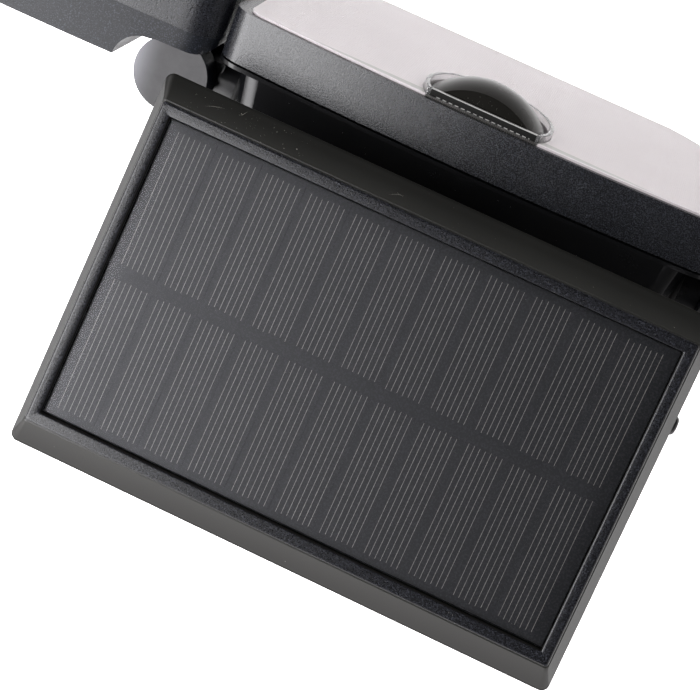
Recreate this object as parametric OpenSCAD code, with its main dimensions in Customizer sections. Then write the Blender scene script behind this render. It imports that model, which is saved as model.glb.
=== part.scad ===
// Three-head solar wall light: a tilting solar panel over a wide centre lamp with a
// motion sensor, and two smaller lamps on swing knuckles at its sides.
// Millimetres. The origin is at the centre of the wall bracket's back face.
// +Y points into the wall, -Y is the front, +Z is up and +X is the right-hand side.

/* [Solar panel] */
// Width of the laminate opening in the panel frame
open_w = 142; // [138:0.5:144]
// Height of the laminate opening in the panel frame
open_h = 83.2; // [81:0.2:84]
// Width of the flat rim round the opening
rim_w = 2.7; // [2.2:0.1:3.2]
// Flare of the frame's left and right walls
flare_x = 3.3; // [2.6:0.1:4]
// Flare of the frame's front and rear walls
flare_y = 7.8; // [6.8:0.1:8.6]
// Depth over which the walls flare
flare_d = 5.8; // [5.2:0.1:6.6]
// Panel angle from level when the light is as set up
panel_tilt = 19; // [17:0.5:21]
// Height of the middle of the panel's rim above the bracket pivot
panel_z = 81; // [80:0.5:84]
// Distance of the middle of the panel's rim from the wall
panel_out = 64; // [62:0.5:66]

/* [Solar cells] */
// Columns of cells
cell_cols = 11; // [9:1:11]
// Pitch of the cell columns
cell_pitch = 12.49; // [12:0.01:12.6]

/* [Centre lamp] */
// Half width of the centre bezel
head_hw = 72.2; // [71.4:0.1:72.2]
// Depth of the bezel from its front rim to its rear edge
bezel_d = 13.9; // [13.4:0.1:14.4]
// Visible width of the bezel's front rim along its long edges
lens_rim = 1.4; // [1:0.1:1.6]
// Extra width of that rim at the two ends of the lens
end_rim = 2.8; // [2.2:0.1:3]
// Rise of the head's arched top edge between its ends and its middle
crown = 4; // [3:0.1:4.5]
// Radius of the motion sensor dome at the lens
dome_r = 16.2; // [15.8:0.1:16.3]
// Height of the dome above the lens
dome_h = 7.5; // [6.5:0.1:8.5]

/* [Side lamps] */
// Length of each side lamp
side_w = 111; // [104:1:120]
// Radius of the round knuckle plates
knuckle_r = 10.6; // [10:0.1:10.6]
// Outer radius of the arm
arm_r = 7; // [6:0.1:7]

/* [Fits] */
// Radial clearance of every running pivot
run_fit = 0.05; // [0.03:0.01:0.08]
// Gap between parts that only sit against each other
gap = 0.05; // [0.03:0.01:0.08]

/* [Hidden] */
$fn = 48;

// lamp outlines, heights from the bracket pivot
top_z = 35;                 // ends of the arched top edge
bottom_z = -35.4;
crown_hw = 70.2;            // half width over which the arch rises by the crown
slope_w = 21.4;             // sloping cut of the lower corners
slope_h = 10.4;
wall = 2.2;                 // wall of the lamp housings

// centre bezel and lenses
rear_y = -113;              // rear edge of the centre bezel
front_y = rear_y - bezel_d; // its front rim
lens_proud = 0.6;
lens_thick = 2.5;
ledge_inset = 3.4;          // inset of the opening behind a lens

// rear housing
house_top = 33;
house_bottom = -32.6;
house_hw = 66.6;            // half width of its front end
house_front = rear_y + 0.6;
house_back = -42;

// wall bracket and its pivots
bracket_hw = 68.1;
bracket_t = 2.5;
bracket_r = 15;             // half height, and radius of the arm ends
pivot_y = -56.3;
ear_x = 64.5;               // outer face of the housing's pivot bosses
washer_t = 1;
knob_screw_r = 2.95;
insert_r = 5;

// arms and knuckles
arm_y = -101.7;
arm_z = 19;
arm_face_x = 64.2;          // outer face of the housing's arm bosses
bush_r = 8.5;
knuckle_x = 82.9;
knuckle_top = 33;
knuckle_bottom = 5;
lug_bottom = 14.05;         // the arm's lug between the knuckle plates
lug_top = 24.95;
upper_plate_z = lug_top + 0.1;
lower_plate_z = lug_bottom - 0.1;
knuckle_pin_r = 2.5;

// side lamps
side_in = head_hw + 1.4;    // end beside the knuckle
side_out = side_in + side_w;
side_part_y = -115.5;       // joint of bezel and rear shell
side_front_y = side_part_y - 14.5;
deep_y = -101.6;
shallow_y = -110;

// screws of the bezel and the panel stand
screw_r = 1.5;
screw_head_r = 2.8;
pilot_r = 1.55;
bezel_screw_x = [-42, 42];
bezel_screw_z = [-28, 28];

// panel, half sizes and heights relative to its rim
rim_x = open_w/2 + rim_w;
rim_y = open_h/2 + rim_w;
back_x = rim_x + flare_x;
back_y = rim_y + flare_y;
skirt_z = -10.5;
cover_z = -12.5;
panel_screw_x = [-68, 0, 68];
panel_screw_y = [-1, 1]*(back_y-7);

// panel hinge and stand
hinge_drop = 28.5;          // hinge axis below the panel's rim, square to it
hinge_y = -panel_out + hinge_drop*sin(panel_tilt);
hinge_z = panel_z - hinge_drop*cos(panel_tilt);
hinge_r = 9;
hinge_lug_hw = 8;
hinge_bore_r = 3 + run_fit;
cheek_in = hinge_lug_hw + 0.1;
cheek_out = 13;
bolt_seat_x = cheek_out + washer_t + 2*gap;
stand_screw_x = [-19, 19];
stand_screw_y = [hinge_y-10, hinge_y+10];

// panel lead
cable_x = 31;
cable_bore_r = 1.75;
gland_y = -64;              // on the housing
grommet_y = 6;              // on the panel, from its middle

// mode button
button_x = 25;
button_y = -75;
button_r = 6;

// motion sensor
pir_z = 28;
pir_cut = 36;               // the dome is cut flat here, beside the lens edge

// ---------- helpers ----------

// a polygon's corners rounded, radius one number or one per corner, some steps each
function rounded(points, radius, steps = 6) = [for (i = [0:len(points)-1]) let(
    count = len(points),
    corner = points[i],
    back = points[(i+count-1)%count] - corner,
    ahead = points[(i+1)%count] - corner,
    to_prev = back/norm(back),
    to_next = ahead/norm(ahead),
    r = is_list(radius) ? radius[i] : radius,
    angle = acos(max(-1, min(1, to_prev*to_next))),
    centre = corner + (to_prev+to_next)/norm(to_prev+to_next)*(r/sin(angle/2)),
    first = corner + to_prev*(r/tan(angle/2)) - centre,
    last = corner + to_next*(r/tan(angle/2)) - centre,
    start = atan2(first[1], first[0]),
    turn = atan2(last[1], last[0]) - start,
    sweep = turn > 180 ? turn-360 : turn < -180 ? turn+360 : turn)
    each (r < 0.02 ? [corner]
        : [for (k = [0:steps]) centre + r*[cos(start+sweep*k/steps), sin(start+sweep*k/steps)]])];

// a convex counter-clockwise polygon moved inwards
function inset(points, distance) = [for (i = [0:len(points)-1]) let(
    count = len(points),
    corner = points[i],
    before = corner - points[(i+count-1)%count],
    after = points[(i+1)%count] - corner,
    normal_1 = [-before[1], before[0]]/norm(before),
    normal_2 = [-after[1], after[0]]/norm(after))
    corner + (normal_1+normal_2)*(distance/(1+normal_1*normal_2))];

function rectangle(hx, hy) = [[-hx, -hy], [hx, -hy], [hx, hy], [-hx, hy]];

// lamp outline in X and Z from top left: lower corners cut at a slope, top edge flat
function flat_outline(x0, x1, top, bottom) = [[x0, top], [x0, bottom+slope_h],
    [x0+slope_w, bottom], [x1-slope_w, bottom], [x1, bottom+slope_h], [x1, top]];
function flat_radii(top, side, bottom) = [top, side, bottom, bottom, side, top];

// the same with an arched top edge
function lamp_outline(x0, x1, top = top_z) = concat(flat_outline(x0, x1, top, bottom_z),
    [for (k = [1:9]) [x1+(x0-x1)*k/10,
        top + crown*pow((x1-x0)/2/crown_hw, 2)*(1-pow(1-k/5, 2))]]);
function lamp_radii(left, right) = concat([left, 6, 8, 8, 6, right], [for (k = [1:9]) 0]);
// outline centred on the light, its arched edge always on the same curve
function centred_outline(hw) =
    lamp_outline(-hw, hw, top_z + crown*(1-pow(hw/crown_hw, 2)));
// corner radii to go with an inset outline
function inset_radii(radii, distance) = [for (r = radii) r == 0 ? 0 : max(0.6, r-distance)];
// how far a hollow form runs on past a shell's open front
function overrun(distance) = distance > 0 ? 1 : 0;

head_outline = centred_outline(head_hw);
opening_outline = centred_outline(head_hw-end_rim); // the centre lens is set in from this
head_radii = lamp_radii(6.5, 6.5);
opening_radii = lamp_radii(5.5, 5.5);
side_outline = lamp_outline(side_in, side_out);
side_radii = lamp_radii(9, 6);                      // rounder beside the knuckle
house_outline = flat_outline(-house_hw, house_hw, house_top, house_bottom);

// extrude an X-Z outline from y0 to y1, or an X-Y outline from z0 to z1
module extrude_y(y0, y1)
    translate([0, y1, 0]) rotate([90, 0, 0]) linear_extrude(y1-y0) children();
module extrude_z(z0, z1) translate([0, 0, z0]) linear_extrude(z1-z0) children();

// turn a part's own Z axis to +X
module along_x(x, y, z) translate([x, y, z]) rotate([0, 90, 0]) children();

module cyl_x(x0, x1, r, y, z) along_x(x0, y, z) cylinder(r = r, h = x1-x0);
module cyl_y(y0, y1, r, x, z)
    translate([x, y1, z]) rotate([90, 0, 0]) cylinder(r = r, h = y1-y0);
module cyl_z(z0, z1, r, x, y) translate([x, y, z0]) cylinder(r = r, h = z1-z0);
module ring_x(x0, x1, bore_r, r, y, z) difference() {
    cyl_x(x0, x1, r, y, z);
    cyl_x(x0-1, x1+1, bore_r, y, z);
}
module both_sides() {
    children();
    mirror([1, 0, 0]) children();
}
module on_panel() translate([0, -panel_out, panel_z]) rotate([panel_tilt, 0, 0]) children();

// ---------- wall bracket ----------

// X-Y outline of one face of the U, open to the front
module bracket_plan(hw, front, back, corner_r, steps)
    polygon(rounded([[-hw, front], [hw, front], [hw, back], [-hw, back]],
        [0, 0, corner_r, corner_r], steps));

module u_bracket() color("dimgray") difference() {
    intersection() {
        extrude_z(-bracket_r, bracket_r) difference() {
            bracket_plan(bracket_hw, -80, 0, 4.5, 5);
            bracket_plan(bracket_hw-bracket_t, -90, -bracket_t, 2, 4);
        }
        union() {
            translate([-80, pivot_y, -bracket_r]) cube([160, -pivot_y, 2*bracket_r]);
            cyl_x(-80, 80, bracket_r, pivot_y, 0);
        }
    }
    cyl_x(-80, 80, 3.2, pivot_y, 0);
    // wall screw holes
    for (x = [-40, 40]) cyl_y(-4, 1, 2.75, x, 0);
}

module friction_washers() color("black") both_sides()
    ring_x(ear_x+gap, ear_x+gap+washer_t, 3.3, 12, pivot_y, 0);
module outer_washers() color("silver") both_sides()
    ring_x(bracket_hw+gap, bracket_hw+gap+washer_t, 3.2, 9, pivot_y, 0);

module knob_screw() color("silver") cyl_x(50.5, 77, knob_screw_r, pivot_y, 0);

knob_x = bracket_hw + washer_t + 0.1;
knob_flange_t = 2.4;
knob_grip_t = 8.4;
knob_grip_x = knob_x + knob_flange_t;

// half profile of the rounded centre cap: radius, distance from the grip
knob_cap = concat([[0, 0], [4.4, 0], [4.4, 1.2], [3, 1.9], [3, 3.9]],
    [for (a = [15:15:75]) [1.6+1.4*cos(a), 3.9+1.4*sin(a)]], [[1.6, 5.3], [0, 5.5]]);

module lock_knob() color("black") difference() {
    union() {
        along_x(knob_x, pivot_y, 0) linear_extrude(knob_flange_t) circle(r = 10);
        // grip with six finger scoops
        along_x(knob_grip_x, pivot_y, 0) linear_extrude(knob_grip_t) difference() {
            circle(r = 10.5);
            for (a = [0:60:300]) translate([12.2*cos(a), 12.2*sin(a)]) circle(r = 3.4);
        }
        along_x(knob_grip_x+knob_grip_t-0.1, pivot_y, 0) rotate_extrude() polygon(knob_cap);
    }
    cyl_x(68, 77.05, 3, pivot_y, 0);
}

module right_lock_knob() lock_knob();
module left_lock_knob() mirror([1, 0, 0]) lock_knob();
module right_knob_screw() knob_screw();
module left_knob_screw() mirror([1, 0, 0]) knob_screw();

// ---------- centre lamp body ----------

// thin slice of the rear housing's tapering shape, inset all round
module slice(y, hw, top, bottom, distance, top_r) extrude_y(y, y+0.05)
    polygon(rounded(inset(flat_outline(-hw, hw, top, bottom), distance),
        flat_radii(top_r, 5, 7), 5));

module housing_form(d) hull() {
    slice(house_front-overrun(d), house_hw, house_top, house_bottom, d, 7-d/2);
    slice(-76, 58.4, house_top, house_bottom, d, 8-d/2);
    slice(house_back-4.05-d, 57.2, house_top, -32.4, d, 8-d/2);
    slice(house_back-0.05-d, 53.5, house_top-4, -28.6, d, 6-d/2);
}

module rear_housing() color("#1a1b1d") difference() {
    union() {
        difference() {
            union() {
                housing_form(0);
                both_sides() cyl_x(55, ear_x, 13, pivot_y, 0);
                both_sides() cyl_x(60, arm_face_x, 9.8, arm_y, arm_z);
            }
            housing_form(wall);
        }
        // pivot and arm bosses inside
        both_sides() cyl_x(50, 61, 7.2, pivot_y, 0);
        both_sides() cyl_x(54, arm_face_x, 10.2, arm_y, arm_z);
        // lip with the bezel's outline, a narrow groove behind its rear edge
        extrude_y(house_front, house_front+1.1) difference() {
            polygon(rounded(head_outline, head_radii));
            polygon(rounded(inset(house_outline, 1), flat_radii(6, 5, 6), 5));
        }
        // pivot cups, open towards the inside
        both_sides() difference() {
            cyl_x(56, ear_x, 13, pivot_y, 0);
            cyl_x(50, 62.3, 11.5, pivot_y, 0);
        }
        // bosses for the bezel screws
        for (x = bezel_screw_x, z = bezel_screw_z) cyl_y(house_front+0.4, -97, 3.6, x, z);
        // bosses for the stand screws
        for (x = stand_screw_x, y = stand_screw_y) cyl_z(27, 32, 3, x, y);
    }
    both_sides() cyl_x(48, 66, insert_r+0.05, pivot_y, 0);
    both_sides() cyl_x(48, 66, bush_r+0.05, arm_y, arm_z);
    // flat seat for the arm's seal ring
    both_sides() cyl_x(arm_face_x+0.02, 70, 10, arm_y, arm_z);
    for (x = bezel_screw_x, z = bezel_screw_z) cyl_y(-116, -98.5, pilot_r, x, z);
    for (x = stand_screw_x, y = stand_screw_y) cyl_z(28.2, 36, pilot_r, x, y);
    // mode button opening and cable entry
    cyl_z(-40, -25, button_r, button_x, button_y);
    cyl_z(25, 40, 3.05, cable_x, gland_y);
}

module housing_gasket() color("black") extrude_y(rear_y+gap, house_front-gap) difference() {
    polygon(rounded(inset(house_outline, 0.35), flat_radii(6.6, 5, 7), 5));
    polygon(rounded(inset(house_outline, 1.9), flat_radii(5.4, 4, 6), 5));
}

// bezel with a stepped opening: a shallow lens seat and a narrower way through to the rear wall
module bezel_shell(outline, radii, opening, opening_r, front, rear) difference() {
    extrude_y(front, rear) polygon(rounded(outline, radii));
    extrude_y(front-1, front+2)
        polygon(rounded(inset(opening, lens_rim), inset_radii(opening_r, lens_rim)));
    extrude_y(front-1, rear-2)
        polygon(rounded(inset(opening, ledge_inset), inset_radii(opening_r, ledge_inset)));
}

module center_bezel() color("#2a2c30") difference() {
    bezel_shell(head_outline, head_radii, opening_outline, opening_radii, front_y, rear_y);
    extrude_y(rear_y-4, rear_y+1) polygon(rounded(inset(house_outline, 10), 6));
    for (x = bezel_screw_x, z = bezel_screw_z) cyl_y(-118, -110, 1.6, x, z);
}

bezel_screw_seat = rear_y - 2.05;
module bezel_screws() color("silver") for (x = bezel_screw_x, z = bezel_screw_z) {
    cyl_y(bezel_screw_seat-1.6, bezel_screw_seat, screw_head_r, x, z);
    cyl_y(bezel_screw_seat-0.05, -100, screw_r, x, z);
}

module lens_form(opening, front, radii) color("white")
    extrude_y(front-lens_proud, front-lens_proud+lens_thick)
        polygon(rounded(inset(opening, lens_rim+gap), inset_radii(radii, lens_rim+gap)));

// many-sided outline round the dome, cut flat at the top
module collar_form(r, cut_z) intersection() {
    translate([0, pir_z]) rotate(11.25) circle(r = r/cos(11.25), $fn = 16);
    translate([-30, -40]) square([60, 40+cut_z]);
}

module center_lens() color([0.92, 0.9, 0.9]) difference() {
    lens_form(opening_outline, front_y, opening_radii);
    // opening for the sensor, with a thin bridge of lens left above it
    extrude_y(front_y-3, front_y+4) collar_form(18, pir_cut+0.9);
}

// ---------- reflectors and LEDs, shared by all lamps ----------

led_pitch = 16;
led_size = [3.5, 0.85, 2.8];
// depths behind a bezel's front rim
reflector_rim = 2.1;
reflector_floor = 6;
reflector_back = 7.2;
led_depth = 7.3;
board_depth = 8.2;
board_t = 1.4;

function led_columns(middle, count) =
    [for (i = [0:count-1]) middle + (i-(count-1)/2)*led_pitch];

// LED places as [x, z]; the centre lamp leaves out the sensor and the lower corners
center_led_places = [for (x = led_columns(0, 8), z = [-24, -12, 0, 12, 24])
    if ((abs(x) > 24 || z < 2) && !(abs(x) > 50 && z < -18)) [x, z]];
side_led_places = [for (x = led_columns(side_in+side_w/2, 6), z = [-18, -4, 10, 24]) [x, z]];

// open tray with a hole in its floor for each LED
module reflector_tray(outline, outer_radii, inner_radii, front, places) difference() {
    extrude_y(front+reflector_rim, front+reflector_back)
        polygon(rounded(inset(outline, 3.6), outer_radii));
    extrude_y(front+1, front+reflector_floor)
        polygon(rounded(inset(outline, 5), inner_radii));
    for (place = places) cyl_y(front+5, front+8, 3, place[0], place[1]);
}

module led_board(outline, radii, front)
    extrude_y(front+board_depth, front+board_depth+board_t)
        polygon(rounded(inset(outline, 4), radii));

module leds(front, places) color("khaki") for (place = places)
    translate([place[0]-led_size[0]/2, front+led_depth, place[1]-led_size[2]/2])
        cube(led_size);

module center_reflector() color("whitesmoke") difference() {
    reflector_tray(opening_outline, lamp_radii(3, 3), lamp_radii(3, 3), front_y,
        center_led_places);
    // room for the sensor
    translate([-19, front_y-1, 9]) cube([38, 10, 40]);
}

module center_led_board() color("#dfe3e0") difference() {
    led_board(opening_outline, lamp_radii(3, 3), front_y);
    translate([-14, front_y+7, 14]) cube([28, 4, 40]);
}

module center_leds() leds(front_y, center_led_places);

// ---------- motion sensor ----------

module pir_collar() color([0.9, 0.9, 0.92, 0.6]) difference() {
    extrude_y(front_y-2.6, front_y+1.95) collar_form(17.9, pir_cut+0.8);
    extrude_y(front_y-4, front_y+3) collar_form(16.8, pir_cut+0.02);
}

dome_t = 1.2;
sphere_r = (dome_r*dome_r + dome_h*dome_h)/(2*dome_h);
sphere_y = front_y - lens_proud - dome_h + sphere_r;

// keep what lies below a height, from y over a depth
module cut_flat(y, depth, height) intersection() {
    children();
    translate([-30, y, -20]) cube([60, depth, 20+height]);
}

module dome_cap(r) cut_flat(front_y-20, 20-lens_proud, pir_cut-(sphere_r-r))
    translate([0, sphere_y, pir_z]) sphere(r = r, $fn = 96);

// smoked dome, its side by the lens edge cut flat, on a short straight skirt
module pir_dome() color("#151517") difference() {
    union() {
        dome_cap(sphere_r);
        cut_flat(front_y-5, 12, pir_cut)
            cyl_y(front_y-lens_proud-0.01, front_y+1.9, dome_r, 0, pir_z);
        // the skirt steps in to pass under the bezel's ledge
        cut_flat(front_y-5, 12, pir_cut-1.1)
            cyl_y(front_y+1.5, front_y+4.6, dome_r, 0, pir_z);
    }
    dome_cap(sphere_r-dome_t);
    cut_flat(front_y-6, 14, pir_cut-2*dome_t)
        cyl_y(front_y-lens_proud-0.5, front_y+6, dome_r-1.4, 0, pir_z);
}

module pir_sensor() color("silver") {
    cyl_y(front_y+1.5, front_y+6.5, 4.1, 0, pir_z-4);
    cyl_y(front_y+6.5, front_y+7.1, 4.7, 0, pir_z-4);
    translate([-10, front_y+7.1, pir_z-13]) cube([20, 1.3, 19]);
}

// ---------- inside the housing ----------

module control_board() color("darkgreen") difference() {
    translate([-45, -104, -12.8]) cube([90, 59.2, 1.6]);
    for (x = [-41, 41], y = [-100, -48]) cyl_z(-14, -10, 1.6, x, y);
}

// box parts under the board as [corner, size], the first over the mode button
component_boxes = [
    [[button_x-3, button_y-3, -22.1], [6, 6, 9.25]],
    [[-30, -82, -14.9], [9, 6, 2.05]],
    [[-10, -70, -14.4], [5, 4, 1.55]],
    [[2, -92, -14.8], [6, 6, 1.95]],
    [[30, -60, -18.9], [8, 6, 6.05]],
    [[-38, -60, -18.9], [8, 6, 6.05]]];

module board_components() color("#222222") {
    for (box = component_boxes) translate(box[0]) cube(box[1]);
    cyl_z(-23, -12.85, 4, -15, -92);
}

battery_r = 9.2;
battery_z = 8;
battery_pitch = 19.6;
battery_y = [for (i = [0:2]) -93 + i*battery_pitch];
battery_end_x = 31.7;       // where the raised contact starts

module battery_cells() color("steelblue") for (y = battery_y) {
    cyl_x(-32.5, battery_end_x, battery_r, y, battery_z);
    cyl_x(battery_end_x, 32.6, 2.8, y, battery_z);
}

module battery_holder() color("#2f2f33") difference() {
    translate([-36, -103.6, -4.4]) cube([72, 59.2, 10.4]);
    for (y = battery_y) cyl_x(-33, 33, battery_r+0.1, y, battery_z);
    // screw holes between the cells
    for (x = [-20, 20], i = [0, 1])
        cyl_z(-6, 8, 1.6, x, battery_y[i]+battery_pitch/2);
}

module knob_inserts() color("goldenrod") both_sides()
    ring_x(50.2, 64.4, knob_screw_r+run_fit, insert_r, pivot_y, 0);
module arm_bushes() color("whitesmoke") both_sides()
    ring_x(54.1, arm_face_x-0.05, arm_r+run_fit, bush_r, arm_y, arm_z);

// button that slides up into the housing's lower face
module mode_button() color("#3a3a3a") {
    cyl_z(-34, -30.2, button_r-run_fit, button_x, button_y);
    cyl_z(-30.2, -28.8, 7.6, button_x, button_y);
    cyl_z(-28.8, -23.6, 1.8, button_x, button_y);
}

module cable_gland() color("black") difference() {
    union() {
        cyl_z(house_top+0.05, 36, 5, cable_x, gland_y);
        cyl_z(28, house_top+0.1, 3, cable_x, gland_y);
        cyl_z(36, 38.5, 3.6, cable_x, gland_y);
    }
    cyl_z(20, 40, cable_bore_r, cable_x, gland_y);
}

// ---------- panel stand and hinge ----------

module panel_stand() color("#1d1e20") difference() {
    union() {
        extrude_z(house_top+gap, house_top+3) translate([0, hinge_y])
            polygon(rounded(rectangle(25, 15), 4, 5));
        // cheeks either side of the panel's hinge lug
        both_sides() {
            translate([cheek_in, hinge_y-hinge_r, house_top+2])
                cube([cheek_out-cheek_in, 2*hinge_r, hinge_z-house_top-2]);
            cyl_x(cheek_in, cheek_out, hinge_r, hinge_y, hinge_z);
        }
    }
    cyl_x(-20, 20, hinge_bore_r, hinge_y, hinge_z);
    for (x = stand_screw_x, y = stand_screw_y) {
        cyl_z(30, 40, 1.7, x, y);
        cyl_z(house_top+1.6, 40, 3, x, y);
    }
}

module stand_screws() color("silver") for (x = stand_screw_x, y = stand_screw_y) {
    cyl_z(29, house_top+1.7, screw_r, x, y);
    cyl_z(house_top+1.65, house_top+3.2, screw_head_r, x, y);
}

module hinge_bolt() color("silver") {
    cyl_x(-19.6, bolt_seat_x+0.1, 3, hinge_y, hinge_z);
    // head with a hexagon socket
    difference() {
        cyl_x(bolt_seat_x, 17.8, 5.4, hinge_y, hinge_z);
        cyl_x(15.6, 19, 2.3, hinge_y, hinge_z, $fn = 6);
    }
}

nut_t = 4.9;
module hinge_nut() color("silver") difference() {
    along_x(-bolt_seat_x-nut_t, hinge_y, hinge_z) cylinder(r = 5.6, h = nut_t, $fn = 6);
    cyl_x(-20, -13, hinge_bore_r, hinge_y, hinge_z);
}

module hinge_washers() color("silver") both_sides()
    ring_x(cheek_out+gap, cheek_out+gap+washer_t, hinge_bore_r, 6.4, hinge_y, hinge_z);

// ---------- solar panel, drawn flat and then tilted ----------

// rounded outline set in from the frame's back edge
module back_outline(distance, corner_r, steps)
    polygon(rounded(rectangle(back_x-distance, back_y-distance), corner_r, steps));

module panel_frame() color("#232427") on_panel() difference() {
    union() {
        difference() {
            hull() {
                extrude_z(-0.02, 0) polygon(rounded(rectangle(rim_x, rim_y), 1.5));
                extrude_z(skirt_z, -flare_d) back_outline(0, 3.2, 6);
            }
            // opening that the laminate drops into, the shelf under it, and the hollow behind
            extrude_z(-4.2, 1) square([open_w, open_h], center = true);
            extrude_z(-12, 0) square([open_w-7, open_h-7], center = true);
            extrude_z(-12, -6) back_outline(2.4, 1.2, 4);
        }
        for (x = panel_screw_x, y = panel_screw_y) cyl_z(skirt_z, -5.5, 3.1, x, y);
    }
    for (x = panel_screw_x, y = panel_screw_y) cyl_z(-11, -6.4, 1.25, x, y);
}

module panel_back_cover() color("#1b1c1e") on_panel() difference() {
    union() {
        extrude_z(cover_z, skirt_z-gap) back_outline(0.3, 3, 6);
        // locating rib that fits inside the frame
        extrude_z(skirt_z-gap-0.1, skirt_z+1.4) difference() {
            back_outline(2.6, 1, 4);
            back_outline(3.8, 0.6, 4);
        }
        // hinge lug on its pad
        extrude_z(cover_z-3, cover_z+0.1) polygon(rounded(rectangle(22, 14), 4, 5));
        translate([-hinge_lug_hw, -hinge_r, -hinge_drop])
            cube([2*hinge_lug_hw, 2*hinge_r, hinge_drop+cover_z]);
        cyl_x(-hinge_lug_hw, hinge_lug_hw, hinge_r, 0, -hinge_drop);
        // cable grommet
        cyl_z(cover_z-2.2, cover_z+0.1, 4.6, cable_x, grommet_y);
    }
    cyl_x(-10, 10, hinge_bore_r, 0, -hinge_drop);
    cyl_z(-20, 0, cable_bore_r, cable_x, grommet_y);
    for (x = panel_screw_x, y = panel_screw_y) {
        cyl_z(-14, -9, 1.6, x, y);
        cyl_z(-14, cover_z+0.9, 3, x, y);
    }
}

module panel_screws() color("silver") on_panel()
    for (x = panel_screw_x, y = panel_screw_y) {
        cyl_z(-11.6, -7, 1.2, x, y);
        cyl_z(cover_z+0.1, cover_z+0.85, 2.7, x, y);
    }

// the laminate sits a little towards the front left corner of its opening
laminate_near = 0.3;
laminate_far = 0.75;

module laminate_sheet(z, thick) on_panel()
    translate([laminate_near-open_w/2, laminate_near-open_h/2, z])
        cube([open_w-laminate_near-laminate_far, open_h-laminate_near-laminate_far, thick]);

module laminate_board() color("#101215") laminate_sheet(-3.75, 1.55);
module front_film() color([0.5, 0.5, 0.52, 0.4]) laminate_sheet(-1.95, 0.3);

cells_left = -open_w/2 + 2.7;
cell_gap = 0.5;
cell_rows = [[-41, 39.9], [2, 37.6]]; // front edge and length of each row

module solar_cells() color("#1b1d22") on_panel()
    for (i = [0:cell_cols-1], row = cell_rows)
        translate([cells_left + i*cell_pitch + cell_gap/2, row[0], -2.18])
            cube([cell_pitch-cell_gap, row[1], 0.2]);

module panel_gasket() color("black") on_panel() extrude_z(-4.15, -3.8) difference() {
    square([open_w-1.6, open_h-1.6], center = true);
    square([open_w-6.6, open_h-6.6], center = true);
}

// lead from the panel's rear cover down to the housing, a slack curve between the grommets
cable_drop = 16.5;          // its start below the panel's rim, square to it
cable_start = [cable_x,
    -panel_out + grommet_y*cos(panel_tilt) + cable_drop*sin(panel_tilt),
    panel_z + grommet_y*sin(panel_tilt) - cable_drop*cos(panel_tilt)];
cable_bend = [cable_x, -52.5, 52];
cable_end = [cable_x, gland_y, 40.3];
cable_points = [for (k = [0:7]) let(t = k/7)
    (1-t)*(1-t)*cable_start + 2*t*(1-t)*cable_bend + t*t*cable_end];

module panel_cable() color("black") for (k = [0:6]) hull() {
    translate(cable_points[k]) sphere(r = 1.6, $fn = 16);
    translate(cable_points[k+1]) sphere(r = 1.6, $fn = 16);
}

// ---------- arms ----------

module arm() color("#26272b") difference() {
    union() {
        cyl_x(50, 71.8, arm_r, arm_y, arm_z);
        translate([71, arm_y-6.2, lug_bottom]) cube([8, 12.4, lug_top-lug_bottom]);
        cyl_z(lug_bottom, lug_top, 8, knuckle_x, arm_y);
    }
    // clip groove, wire bore and knuckle pin bore
    ring_x(52.5, 53.7, 6, 12, arm_y, arm_z);
    cyl_x(48, 69, 3, arm_y, arm_z);
    cyl_z(0, 40, knuckle_pin_r+run_fit, knuckle_x, arm_y);
}

// ring open at the bottom
module arm_clip() color("silver") difference() {
    ring_x(52.6, 53.6, 6.05, 9.4, arm_y, arm_z);
    translate([50, arm_y-2.2, arm_z-12]) cube([6, 4.4, 12]);
}

module arm_seal() color("black") along_x(65.25, arm_y, arm_z)
    rotate_extrude() translate([arm_r+0.95, 0]) circle(r = 0.88, $fn = 24);

module right_arm() arm();
module left_arm() mirror([1, 0, 0]) arm();
module right_arm_clip() arm_clip();
module left_arm_clip() mirror([1, 0, 0]) arm_clip();
module right_arm_seal() arm_seal();
module left_arm_seal() mirror([1, 0, 0]) arm_seal();

// ---------- side lamps ----------

// plan outline of the rear shell: deep at the outside, scooped round the knuckle
function side_plan(d) = concat(
    [[side_in+d, side_part_y-overrun(d)], [side_out-d, side_part_y-overrun(d)]],
    [for (a = [0:15:90]) [side_out-d-5+5*cos(a), deep_y-d-5+5*sin(a)]],
    [for (a = [-3:-10.875:-90]) [90.7+(8.5+d)*cos(a), deep_y-d+0.45+8.45*sin(a)]],
    [[89, shallow_y-d]],
    [for (a = [90:15:180]) [side_in+d+5.5+5.5*cos(a), shallow_y-d-5.3+5.3*sin(a)]]);

module side_form(d) intersection() {
    extrude_z(-50, 50) polygon(side_plan(d));
    extrude_y(-120, -95)
        polygon(rounded(inset(side_outline, max(d, 0.2)), inset_radii(side_radii, max(d, 0.2))));
}

// round plate with a block that joins it to the shell
module knuckle_plate(z0, z1) {
    cyl_z(z0, z1, knuckle_r, knuckle_x, arm_y);
    translate([knuckle_x-3.5, shallow_y-2.1, z0]) cube([10.5, 4, z1-z0]);
}

module side_housing() color("#1c1d20") difference() {
    union() {
        difference() {
            side_form(0);
            side_form(wall);
        }
        // knuckle plates above and below the arm's lug
        knuckle_plate(upper_plate_z, knuckle_top);
        knuckle_plate(knuckle_bottom, lower_plate_z);
    }
    cyl_z(knuckle_bottom-1, 31, knuckle_pin_r+run_fit, knuckle_x, arm_y);
    cyl_z(knuckle_bottom-1, 8.6, 4.6, knuckle_x, arm_y);
}

module side_bezel() color("#2a2c30") difference() {
    bezel_shell(side_outline, side_radii, side_outline, side_radii,
        side_front_y, side_part_y-gap);
    extrude_y(side_part_y-4, side_part_y+1)
        polygon(rounded(inset(side_outline, 7), lamp_radii(4, 4)));
}

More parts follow.
